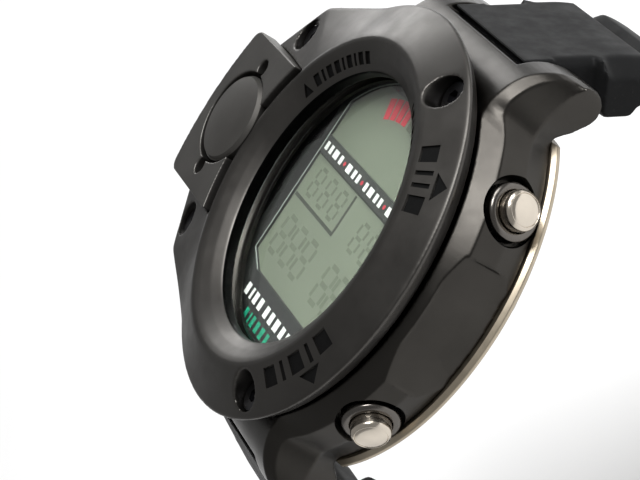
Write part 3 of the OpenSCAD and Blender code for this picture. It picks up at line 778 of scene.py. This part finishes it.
def build_sensor():
    guard = copy_of("sensor_guard")
    soften(guard, 0.13, 5, 0.6)
    place(guard, "sensor_guard_plate", "case", GUARD_METAL, ["sensor_guard"])
    top = GUARD_TOP + 0.55
    dome_r = 26.0
    profile = [(0, 14.1), (3.2, 14.1), (3.2, 12.7), (CAP_R, 12.7), (CAP_R, GUARD_TOP - 0.35)]
    reach = math.asin((CAP_R - 0.35) / dome_r)
    profile += [
        (dome_r * math.sin(mix(reach, 0, k / 12)), top - dome_r * (1 - math.cos(mix(reach, 0, k / 12))))
        for k in range(13)
    ]
    cap = lathe("cap", fillet(profile[:5], 0.12) + profile[5:], 120)
    moved(cap, Matrix.Translation((SENSOR_X, 0, 0)))
    place(crease(cap), "sensor_dome", "case", CAP_METAL, ["sensor_cap"])


# ---------------------------------------------------------------- screws

def socket_screw(head_r, head_t, shank):
    """Screw with a hexagon socket, standing on the underside of its head."""
    shank_r, socket_r, socket_deep = 0.95, 0.85, 0.6
    outline = [(0, -shank), (shank_r, -shank), (shank_r, 0), (head_r, 0), (head_r, head_t), (0, head_t)]
    screw = lathe("screw", fillet(outline, 0.12), 72)
    corners = [math.radians(60 * k) for k in range(6)]
    hexagon = [(socket_r * math.cos(t), socket_r * math.sin(t)) for t in corners]
    return cut(screw, prism("hex", hexagon, head_t - socket_deep, head_t + 1))


def build_screws():
    screws = [
        moved(socket_screw(1.82, 1.1, 4.5), Matrix.Translation((x, y, SCREW_HEAD_Z)))
        for x, y in screw_spots()
    ]
    screw_set = join(screws[0], *screws[1:])
    place(crease(screw_set), "bezel_screw_set", "case", BLACK_STEEL, ["bezel_screws"])


# ---------------------------------------------------------------- case back

def build_back():
    joint_z = CASE_LOW - 0.06
    outline = [(0, 0.05), (20.5, 0.05), (23.8, 1.8), (BACK_R - 0.02, 2.85), (BACK_R - 0.05, 3.2)]
    outline += [(24.9, joint_z), (24.2, joint_z), (23.9, 3.4), (0, 3.4)]
    back = lathe("back", fillet(outline, [0, 0.6, 0.5, 0.12, 0.1, 0.05, 0.05, 0.05, 0]), 200)
    flat = mm_box("case_back")[1].y
    for side in (1, -1):
        edge = sorted((side * flat, side * 40))
        cut(back, block("flat", (-40, edge[0], -2), (40, edge[1], 10)))
    spots = [Matrix.Translation((x, y, 0)) for x, y in BACK_SCREWS]
    wells = [moved(rod("well", 1.65, -1, 2.5, 40), spot) for spot in spots]
    holes = [moved(rod("hole", 1.1, 1, 8, 32), spot) for spot in spots]
    cut(back, *wells, *holes)
    ring = lathe("groove", [(14.6, -1), (15.0, -1), (15.0, 0.22), (14.6, 0.22)])
    cut(back, ring)
    place(crease(back, 30), "case_back_plate", "case", BACK_METAL, ["case_back"])


# ---------------------------------------------------------------- buttons

def build_button(side, tag):
    """Collar and knob of one push button, side 1 above 3 o'clock and -1 below."""
    stem_bore, stem_r, cap_in, cap_r, crown_r, dome = 1.08, 1.0, 24.1, 2.15, 1.75, 6.2
    collar = [(stem_bore, TUBE_IN), (TUBE_R, TUBE_IN), (TUBE_R, COLLAR_IN), (COLLAR_R, COLLAR_IN)]
    collar += [(COLLAR_R, 25.2), (2.75, COLLAR_OUT), (COLLAR_BORE_R, COLLAR_OUT)]
    collar += [(COLLAR_BORE_R, SPRING_FLOOR), (stem_bore, SPRING_FLOOR)]
    tube = lathe("collar", fillet(collar, [0.02, 0.02, 0.02, 0.05, 0.2, 0.2, 0.12, 0.02, 0.02]), 120)
    moved(tube, on_button(side))
    replaced = ["button_tube_" + tag]
    place(crease(tube, 40), "button_collar_" + tag, "case", COLLAR_METAL, replaced)
    cap = [(0, 20.5), (stem_r, 20.5), (stem_r, cap_in), (cap_r, cap_in), (cap_r, 26.75), (crown_r, 27.08)]
    reach = math.asin(crown_r / dome)
    leans = [mix(reach, 0, k / 8) for k in range(1, 9)]
    crown = [(dome * math.sin(a), KNOB_OUT - dome * (1 - math.cos(a))) for a in leans]
    knob = lathe("knob", fillet(cap, [0, 0, 0.03, 0.05, 0.22, 0.1]) + crown, 120)
    moved(knob, on_button(side))
    body = "button_" + tag + "_body"
    place(crease(knob, 40), "button_knob_" + tag, body, CHAMPAGNE, ["button_" + tag])


# ---------------------------------------------------------------- display

PRINT_LOW = MASK_TOP - 0.015
PRINT_TOP = MASK_TOP + 0.02
LCD_PRINT = LCD_TOP + 0.002
STRIP_Y = 4.65


def printed(outlines, low, high, name, material):
    """One thin piece made of flat shapes that don't touch."""
    piece = sloped_slab(name, [(outline, lambda r: 0.0) for outline in outlines], low, high)
    return place(piece, name, "case", material, smooth=False)


def printed_row(widths, x, y, fill, height, gap, space):
    """A row of bars in place of words, and where its spaces are. A width of 0 is a space."""
    bars, spaces = [], []
    for width in widths:
        if width:
            bars.append(bar(x, y, x + width * fill, y, height))
            x += width + gap
        else:
            spaces.append(x)
            x += space
    return bars, spaces


def bar(x0, y0, x1, y1, width):
    """Outline of a straight stroke between two points."""
    d = Vector((x1 - x0, y1 - y0)).normalized() * (width / 2)
    return [
        (x0 + d.y, y0 - d.x), (x1 + d.y, y1 - d.x),
        (x1 - d.y, y1 + d.x), (x0 - d.y, y0 + d.x),
    ]


def digit(x, y, height):
    """Seven-segment figure with its lower left corner at (x, y), leaning a little."""
    w = height * 0.55
    t = height * 0.13
    gap = t * 0.62
    lean = 0.09

    def place_pt(px, py):
        return (x + px + lean * py, y + py)

    half = height / 2
    ends = {
        "a": ((gap, height), (w - gap, height)), "b": ((w, height - gap), (w, half + gap)),
        "c": ((w, half - gap), (w, gap)), "d": ((gap, 0), (w - gap, 0)),
        "e": ((0, half - gap), (0, gap)), "f": ((0, height - gap), (0, half + gap)),
        "g": ((gap, half), (w - gap, half)),
    }
    return [bar(*place_pt(*ends[s][0]), *place_pt(*ends[s][1]), t) for s in "abcdefg"]


def window_outline():
    """Outline of the display's window: an arc above, straight sides and a chord below."""
    side_x, chord = 12.8, -11.1
    turn = math.acos(side_x / WINDOW_R)
    angles = [mix(turn, math.pi - turn, i / 48) for i in range(49)]
    arc = [(WINDOW_R * math.cos(a), WINDOW_R * math.sin(a)) for a in angles]
    return arc + [(-side_x, -9.6), (-9.3, chord), (9.3, chord), (side_x, -9.6)]


def build_well_painted_shade():
    """Painted shade in the display's well: a near-black patch on the mask, stepped on its left, and a
    near-black liner round the well's wall.
    """
    # Painted shade: outline of the near-black patch laid on the mask where the well stands in shadow, stepped
    # on its left.
    angles = [math.radians(a) for a in range(146, 208, 4)]
    wall = [(17.5 * math.cos(a), 17.5 * math.sin(a)) for a in angles]
    wall += [(-15.6, -8.0), (-15.6, -2.7), (-15.95, -2.2), (-15.95, 2.7), (-15.7, 3.1)]
    wall += [(-14.05, 4.7), (-14.2, 6.9)]
    printed([wall], MASK_TOP - 0.01, MASK_TOP + 0.06, "display_well_painted_shade", WELL_PAINTED_SHADE)
    # Painted shade: a near-black liner on the well's wall, which stands in shadow.
    low, high = MASK_TOP + 0.08, SHELF_LOW - 0.02
    inside, outside = WELL_R - 0.2, WELL_R - 0.02
    liner = lathe("liner", [(inside, low), (outside, low), (outside, high), (inside, high)])
    place(crease(liner), "display_well_shade_liner", "case", WELL_PAINTED_SHADE)


def build_segments():
    """Lines, unlit figures, graph and red zone on the display itself."""
    lines = [bar(-12.5, -1.9, -0.4, -1.9, 0.42), bar(-0.2, -2.11, -0.2, 3.1, 0.42)]
    lines += [bar(-12.7, 3.4, 12.7, 3.4, 0.2)]
    printed(lines, LCD_PRINT, LCD_PRINT + 0.03, "display_lines", SEGMENT_INK)
    ghosts = []
    for count, x, y, pitch, height in (
        (3, -11.0, -8.6, 3.6, 4.6), (2, 3.2, -8.6, 3.4, 4.6),
        (3, -10.6, -1.0, 3.4, 3.4), (2, 4.2, -1.6, 3.3, 3.4),
    ):
        for k in range(count):
            ghosts += digit(x + pitch * k, y, height)
    printed(ghosts, LCD_PRINT, LCD_PRINT + 0.02, "display_segments", GHOST_INK)
    centres = [84 - 7.2 * k for k in range(9)]
    graph = [polar_patch(12.2, 13.6, a - 3.0, a + 3.0, 3) for a in centres]
    printed(graph, LCD_PRINT, LCD_PRINT + 0.02, "display_graph", GHOST_INK)
    reds = [polar_patch(12.2, 14.7, a, a + 5.0, 3) for a in (89.5, 95.8, 102.1, 108.4)]
    printed(reds, LCD_PRINT, LCD_PRINT + 0.03, "display_red_zone", RED_INK)


def build_prints():
    """Strip across the window with its marks, and two rows of marks below the window."""
    corners = [(-12.75, 3.6), (12.75, 3.6), (12.75, 5.75), (-12.75, 5.75)]
    strip = prism("strip", corners, LCD_PRINT, MASK_TOP - 0.02)
    place(crease(strip), "display_strip", "case", STRIP_FILM)
    widths = (0.9, 0.9, 1.5, 0.9, 0, 1.5, 0.9, 0.9, 0, 0.9, 1.5, 0.9, 0.9, 0, 1.5, 0.9, 0.9)
    ticks, spaces = printed_row(widths, -12.0, STRIP_Y, 0.8, 1.0, 0.42, 1.1)
    round_dot = [math.radians(45 * j) for j in range(8)]
    dots = [
        [(x + 0.25 + 0.28 * math.cos(t), STRIP_Y + 0.28 * math.sin(t)) for t in round_dot]
        for x in spaces
    ]
    widths = (1.3, 0.7, 1.3, 1.3, 0, 1.3, 1.3, 1.6, 1.3, 1.3)
    ticks += printed_row(widths, -9.2, -13.35, 0.75, 1.35, 0.42, 0.42)[0]
    printed(ticks, PRINT_LOW, PRINT_TOP, "display_white_marks", WHITE_INK)
    printed(dots, PRINT_LOW, PRINT_TOP, "display_red_dots", RED_INK)
    greens = printed_row((1.2, 0.5, 1.1, 1.2, 1.3, 1.1), -6.4, -15.35, 0.7, 1.3, 0.4, 0.4)[0]
    printed(greens, PRINT_LOW, PRINT_TOP, "display_green_marks", GREEN_INK)


def build_display():
    outline = window_outline()
    mask = rod("mask", 17.6, MASK_TOP - 0.35, MASK_TOP, 160)
    cut(mask, prism("hole", outline, 0, 20))
    place(crease(mask), "dial_film", "case", MASK_FILM, ["dial_mask"])
    build_well_painted_shade()
    build_segments()
    build_prints()
    edge = [bar(*outline[k], *outline[k - 1], 0.16) for k in range(25, len(outline) - 2)]
    printed(edge, PRINT_LOW, MASK_TOP + 0.03, "display_edge_line", EDGE_INK)


# ---------------------------------------------------------------- strap

START_TURN = -59.0
UPPER_RUN = ((8, 0), (8, 31), (29, 0), (37.7, 90), (10, 0))
LOWER_RUN = ((8, 0), (8, 31), (19.5, 0), (37.7, 90), (3, 0), (26.2, 80), (7, 0))
STRAP_OUT = 3.75
BOSS_R = 3.1
RIB_FIRST = 11.0
RIB_PITCH = 6.5
RIB_COUNT = 3
RIB_VALLEY = 1.1
RIB_HEIGHT = 2.5
INNER_RIB = 7.5
STRAP_T = 3.6
WIDE_FROM = 5.2
TIP_LENGTH = 8.0
HOLE_FIRST = 56
HOLE_PITCH = 7
HOLE_COUNT = 7
FIXED_LOOP_AT = 66.0


class Path:
    """A strap's centre line in the YZ plane, as steps of (length, turn)."""

    def __init__(self, run):
        self.run = run
        self.total = sum(length for length, turn in run)

    def heading(self, s):
        turned = 0.0
        left = max(s, 0.0)
        for length, turn in self.run:
            if left <= length:
                return math.radians(START_TURN - turned - turn * left / length)
            turned += turn
            left -= length
        return math.radians(START_TURN - turned)

    def point(self, s, parts=64):
        y, z = BAR_Y, BAR_Z
        step = s / parts
        for i in range(parts):
            a = self.heading((i + 0.5) * step)
            y += step * math.cos(a)
            z += step * math.sin(a)
        return y, z

    def offset(self, s, out):
        """Point beside the path, positive to the outside of the loop."""
        y, z = self.point(s)
        a = self.heading(s)
        return y - math.sin(a) * out, z + math.cos(a) * out


def wave(u):
    """Trapezoid wave of unit pitch: 1 on its crest, 0 in its valley."""
    t = (0.5 - abs(u - math.floor(u) - 0.5)) / 0.16 - 0.55
    return step_up(-0.05, 1.05, t)


def outer_offset(s):
    k = (s - RIB_FIRST) / RIB_PITCH + 0.82
    if k < 0.82:
        return STRAP_OUT
    if k > RIB_COUNT + 0.75:
        return mix(RIB_VALLEY, STRAP_T / 2, step_up(0, 0.2, k - RIB_COUNT - 0.75))
    return RIB_VALLEY + (RIB_HEIGHT - 0.15 * math.floor(k)) * wave(k)


def inner_offset(s):
    k = (s - RIB_FIRST) / RIB_PITCH + 1.32
    if s < 3.4:
        return BOSS_R
    if s < INNER_RIB - 3:
        return mix(BOSS_R, RIB_VALLEY, step_up(0, 0.8, s - 3.4))
    if s < INNER_RIB + 3:
        return RIB_VALLEY + 1.3 * wave((s - INNER_RIB) / 6 + 0.5)
    if k < 2:
        return RIB_VALLEY
    if k > RIB_COUNT + 1:
        return mix(RIB_VALLEY, STRAP_T / 2, step_up(0, 0.2, k - RIB_COUNT - 1))
    return RIB_VALLEY + (RIB_HEIGHT - 0.9) * wave(k)


def half_width(s):
    if s < WIDE_FROM:
        return LUG_GAP / 2 - 0.2
    return mix(24, 20, min(max((s - 24) / 40, 0), 1)) / 2


def strap_band(path, s0, s1, tip=0.0):
    """The strap's body, swept finely, with shoulders that are cut lower over the ribs."""
    count = round((s1 - s0) / (0.45 * COARSE))
    rings = []
    for i in range(count + 1):
        s = mix(s0, s1, i / count)
        left = s1 - s
        half = half_width(s)
        if tip and left < tip:
            half -= tip * (1 - math.sqrt(1 - (1 - left / tip) ** 2)) * 0.95
        out, inn = outer_offset(s), inner_offset(s)
        ribbed = step_up(WIDE_FROM - 0.2, WIDE_FROM + 1.4, s) * (1 - step_up(30, 34, s))
        slope = mix(0.5, 2.4, ribbed)
        drop = mix(0.45, min(1.5, 0.42 * out), ribbed)
        across = [
            (half, -inn + 0.5), (half, out - drop - 0.35), (half - 0.35, out - drop),
            (half - slope, out - 0.12), (half - slope - 0.5, out),
        ]
        under = [(half - 0.9, -inn), (half - 0.25, -inn + 0.18)]
        right = under + across
        ring = right + [(-x, o) for x, o in reversed(right)]
        rings.append([(x, *path.offset(s, o)) for x, o in ring])
    return loft("band", rings)


def strap_root(path):
    """Boss round the spring bar with the fitted block that fills the slot."""
    half = LUG_GAP / 2 - 0.2
    boss = moved(rod("boss", BOSS_R, -half, half, 96), along_x())
    moved(boss, Matrix.Translation((0, BAR_Y, BAR_Z)))
    a = math.radians(START_TURN)
    along = Vector((math.cos(a), math.sin(a)))
    out = Vector((-along.y, along.x))
    p = Vector((BAR_Y, BAR_Z))
    top = p + out * STRAP_OUT - along * 3.4
    outline = [top, Vector((top.x, BAR_Z + 2.6)), p, p + along * 0.5, p + along * 0.5 + out * STRAP_OUT]
    fill = loft("block", [[(x, q.x, q.y) for q in outline] for x in (-half, half)])
    return join(boss, fill)


def strap_half(path, tip):
    strap = strap_root(path)
    join(strap, strap_band(path, 0.2, path.total - (0 if tip else 1.0), tip))
    return strap


def bar_hole(strap, radius, y, z):
    hole = moved(rod("hole", radius, -20, 20, 48), along_x())
    return cut(strap, moved(hole, Matrix.Translation((0, y, z))))


def build_straps():
    upper = Path(UPPER_RUN)
    strap = strap_half(upper, 0.0)
    end_y, end_z = upper.point(upper.total)
    end = moved(rod("end", STRAP_T / 2, -9.7, 9.7, 72), along_x())
    join(strap, moved(end, Matrix.Translation((0, end_y, end_z))))
    join(strap, fixed_loop(upper))
    cut(strap, block("slot", (-1.7, end_y - 5, end_z - 5), (1.7, end_y + 2.6, end_z + 5)))
    soften(strap, 0.24, 4, 0.5)
    bar_hole(strap, 1.08, end_y, end_z)
    bar_hole(strap, 0.98, BAR_Y, BAR_Z)
    place(crease(strap, 50), "strap_12", "strap_upper_body", RUBBER, ["strap_upper"])

    lower = Path(LOWER_RUN)
    strap = strap_half(lower, TIP_LENGTH)
    holes = []
    for i in range(HOLE_COUNT):
        s = HOLE_FIRST + HOLE_PITCH * i
        y, z = lower.point(s)
        hole = rod("hole", 1.3, -6, 6, 40)
        moved(hole, Matrix.Rotation(lower.heading(s), 4, "X"))
        holes.append(moved(hole, Matrix.Translation((0, y, z))))
    cut(strap, *holes)
    soften(strap, 0.24, 4, 0.5)
    bar_hole(strap, 0.98, BAR_Y, BAR_Z)
    moved(strap, Matrix.Scale(-1, 4, (0, 1, 0)))
    strap.data.flip_normals()
    place(crease(strap, 50), "strap_6", "strap_lower_body", RUBBER, ["strap_lower"])


def loop_form(path, s, inner_room, outer_room, length, name):
    """Rectangular loop round the strap at a length along it, with rounded corners."""
    y, z = path.point(s)
    half = half_width(s) + 0.45
    wall = 1.5
    low, high = -STRAP_T / 2 - inner_room, STRAP_T / 2 + outer_room
    outer = fillet([(-half - wall, low - wall), (half + wall, low - wall), (half + wall, high + wall),
                    (-half - wall, high + wall)], 1.6, 6)
    inner = fillet([(-half, low), (half, low), (half, high), (-half, high)], 0.8, 6)
    body = loft(name, [[(px, v, pz) for px, pz in outer] for v in (-length / 2, length / 2)])
    hollow = loft("hollow", [[(px, v, pz) for px, pz in inner] for v in (-length, length)])
    cut(body, hollow)
    return body, (y, z), path.heading(s)


def fixed_loop(path):
    body, (y, z), heading = loop_form(path, FIXED_LOOP_AT, 0.0, 3.8, 4.6, "loop")
    cut(body, block("inside", (-20, -9, -STRAP_T / 2 - 4), (20, 9, -STRAP_T / 2 + 0.4)))
    moved(body, Matrix.Rotation(heading, 4, "X"))
    return moved(body, Matrix.Translation((0, y, z)))


def build_keeper():
    keeper = copy_of("strap_keeper")
    soften(keeper, 0.2, 6, 0.7)
    place(keeper, "strap_loop", "keeper_body", RUBBER, ["strap_keeper"])


# ---------------------------------------------------------------- buckle

def build_buckle():
    for node, voxel, body in (("buckle_frame", 0.17, "buckle_body"), ("buckle_tongue", 0.12, "tongue_body")):
        piece = copy_of(node)
        soften(piece, voxel, 5, 0.7)
        place(piece, node + "_form", body, BUCKLE_METAL, [node])


# ---------------------------------------------------------------- carried-over CAD nodes

def finish_cad_nodes():
    """Gives every CAD node that still shows a procedural material."""
    ivory = plastic("ivory_plastic", (0.5, 0.48, 0.40))
    board = plastic("board_laminate", (0.02, 0.12, 0.05), (0.3, 0.45))
    resin = plastic("chip_resin", (0.012, 0.012, 0.012))
    white = plastic("white_film", (0.62, 0.66, 0.62))
    brass = turned_metal("spring_brass", (0.60, 0.45, 0.22), (0.25, 0.4))
    looks = {
        "crystal": GLASS, "crystal_gasket": SEAL, "back_gasket": SEAL, "sensor_seal": SEAL,
        "button_seal_upper": SEAL, "button_seal_lower": SEAL, "lcd_panel": LCD_FILM,
        "backlight_panel": white, "module_frame": ivory, "circuit_board": board,
        "processor_chip": resin, "battery_clamp": brass, "alarm_disc": brass, "sensor_leads": brass,
        "buckle_bar": BUCKLE_METAL,
    }
    for name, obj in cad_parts.items():
        obj.data.materials.clear()
        obj.data.materials.append(looks.get(name, BRIGHT_STEEL))


# ---------------------------------------------------------------- scene

def area_light(name, place_at, target, size, power, colour=(1, 1, 1)):
    data = bpy.data.lights.new(name, "AREA")
    data.shape = "RECTANGLE"
    data.size, data.size_y = size
    data.energy = power
    data.color = colour
    obj = bpy.data.objects.new(name, data)
    obj.location = place_at
    obj.rotation_euler = (Vector(target) - Vector(place_at)).to_track_quat("-Z", "Y").to_euler()
    bpy.context.scene.collection.objects.link(obj)
    return obj


def build_stage():
    scene = bpy.context.scene
    floor_z = cad_box[0][2]
    side = 3.0
    mesh = bpy.data.meshes.new("floor")
    corners = [(-side, -side, floor_z), (side, -side, floor_z), (side, side, floor_z), (-side, side, floor_z)]
    mesh.from_pydata(corners, [], [(0, 1, 2, 3)])
    floor = bpy.data.objects.new("floor", mesh)
    scene.collection.objects.link(floor)
    n = Nodes("pale_floor")
    tones = n.ramp(n.noise(60, 2.0), [(0.3, (0.93, 0.93, 0.93)), (0.7, (0.95, 0.95, 0.95))])
    n.link(tones, n.shader.inputs["Base Color"])
    n.set(Roughness=0.6)
    mesh.materials.append(n.material)

    world = bpy.data.worlds.new("studio")
    world.use_nodes = True
    world.node_tree.nodes["Background"].inputs["Color"].default_value = (1, 1, 1, 1)
    world.node_tree.nodes["Background"].inputs["Strength"].default_value = 0.30
    scene.world = world
    scene.view_settings.view_transform = "Standard"

    area_light("key", (0.42, 0.70, 1.22), (0, 0, 0), (0.5, 0.5), 15)
    area_light("top_left", (-0.1, 1.2, 1.0), (0, 0, 0), (0.7, 0.7), 14)
    area_light("low_left", (-1.1, 0.35, 0.3), (0, 0, 0), (0.5, 0.4), 3.2)

    data = bpy.data.cameras.new("camera")
    data.sensor_width = 36
    data.lens = 140.6
    data.clip_start = 0.01
    camera = bpy.data.objects.new("camera", data)
    columns = ((0.3177, 0.5452, -0.7758), (-0.3865, 0.8216, 0.4191), (0.8658, 0.1667, 0.4717))
    turn = Matrix(columns).transposed().to_4x4()
    camera.matrix_world = Matrix.Translation((0.23396, 0.04205, 0.13962)) @ turn
    scene.collection.objects.link(camera)
    scene.camera = camera


build_stage()
finish_cad_nodes()
build_case()
build_bezel()
build_sensor()
build_screws()
build_back()
build_button(1, "upper")
build_button(-1, "lower")
build_display()
build_straps()
build_keeper()
build_buckle()
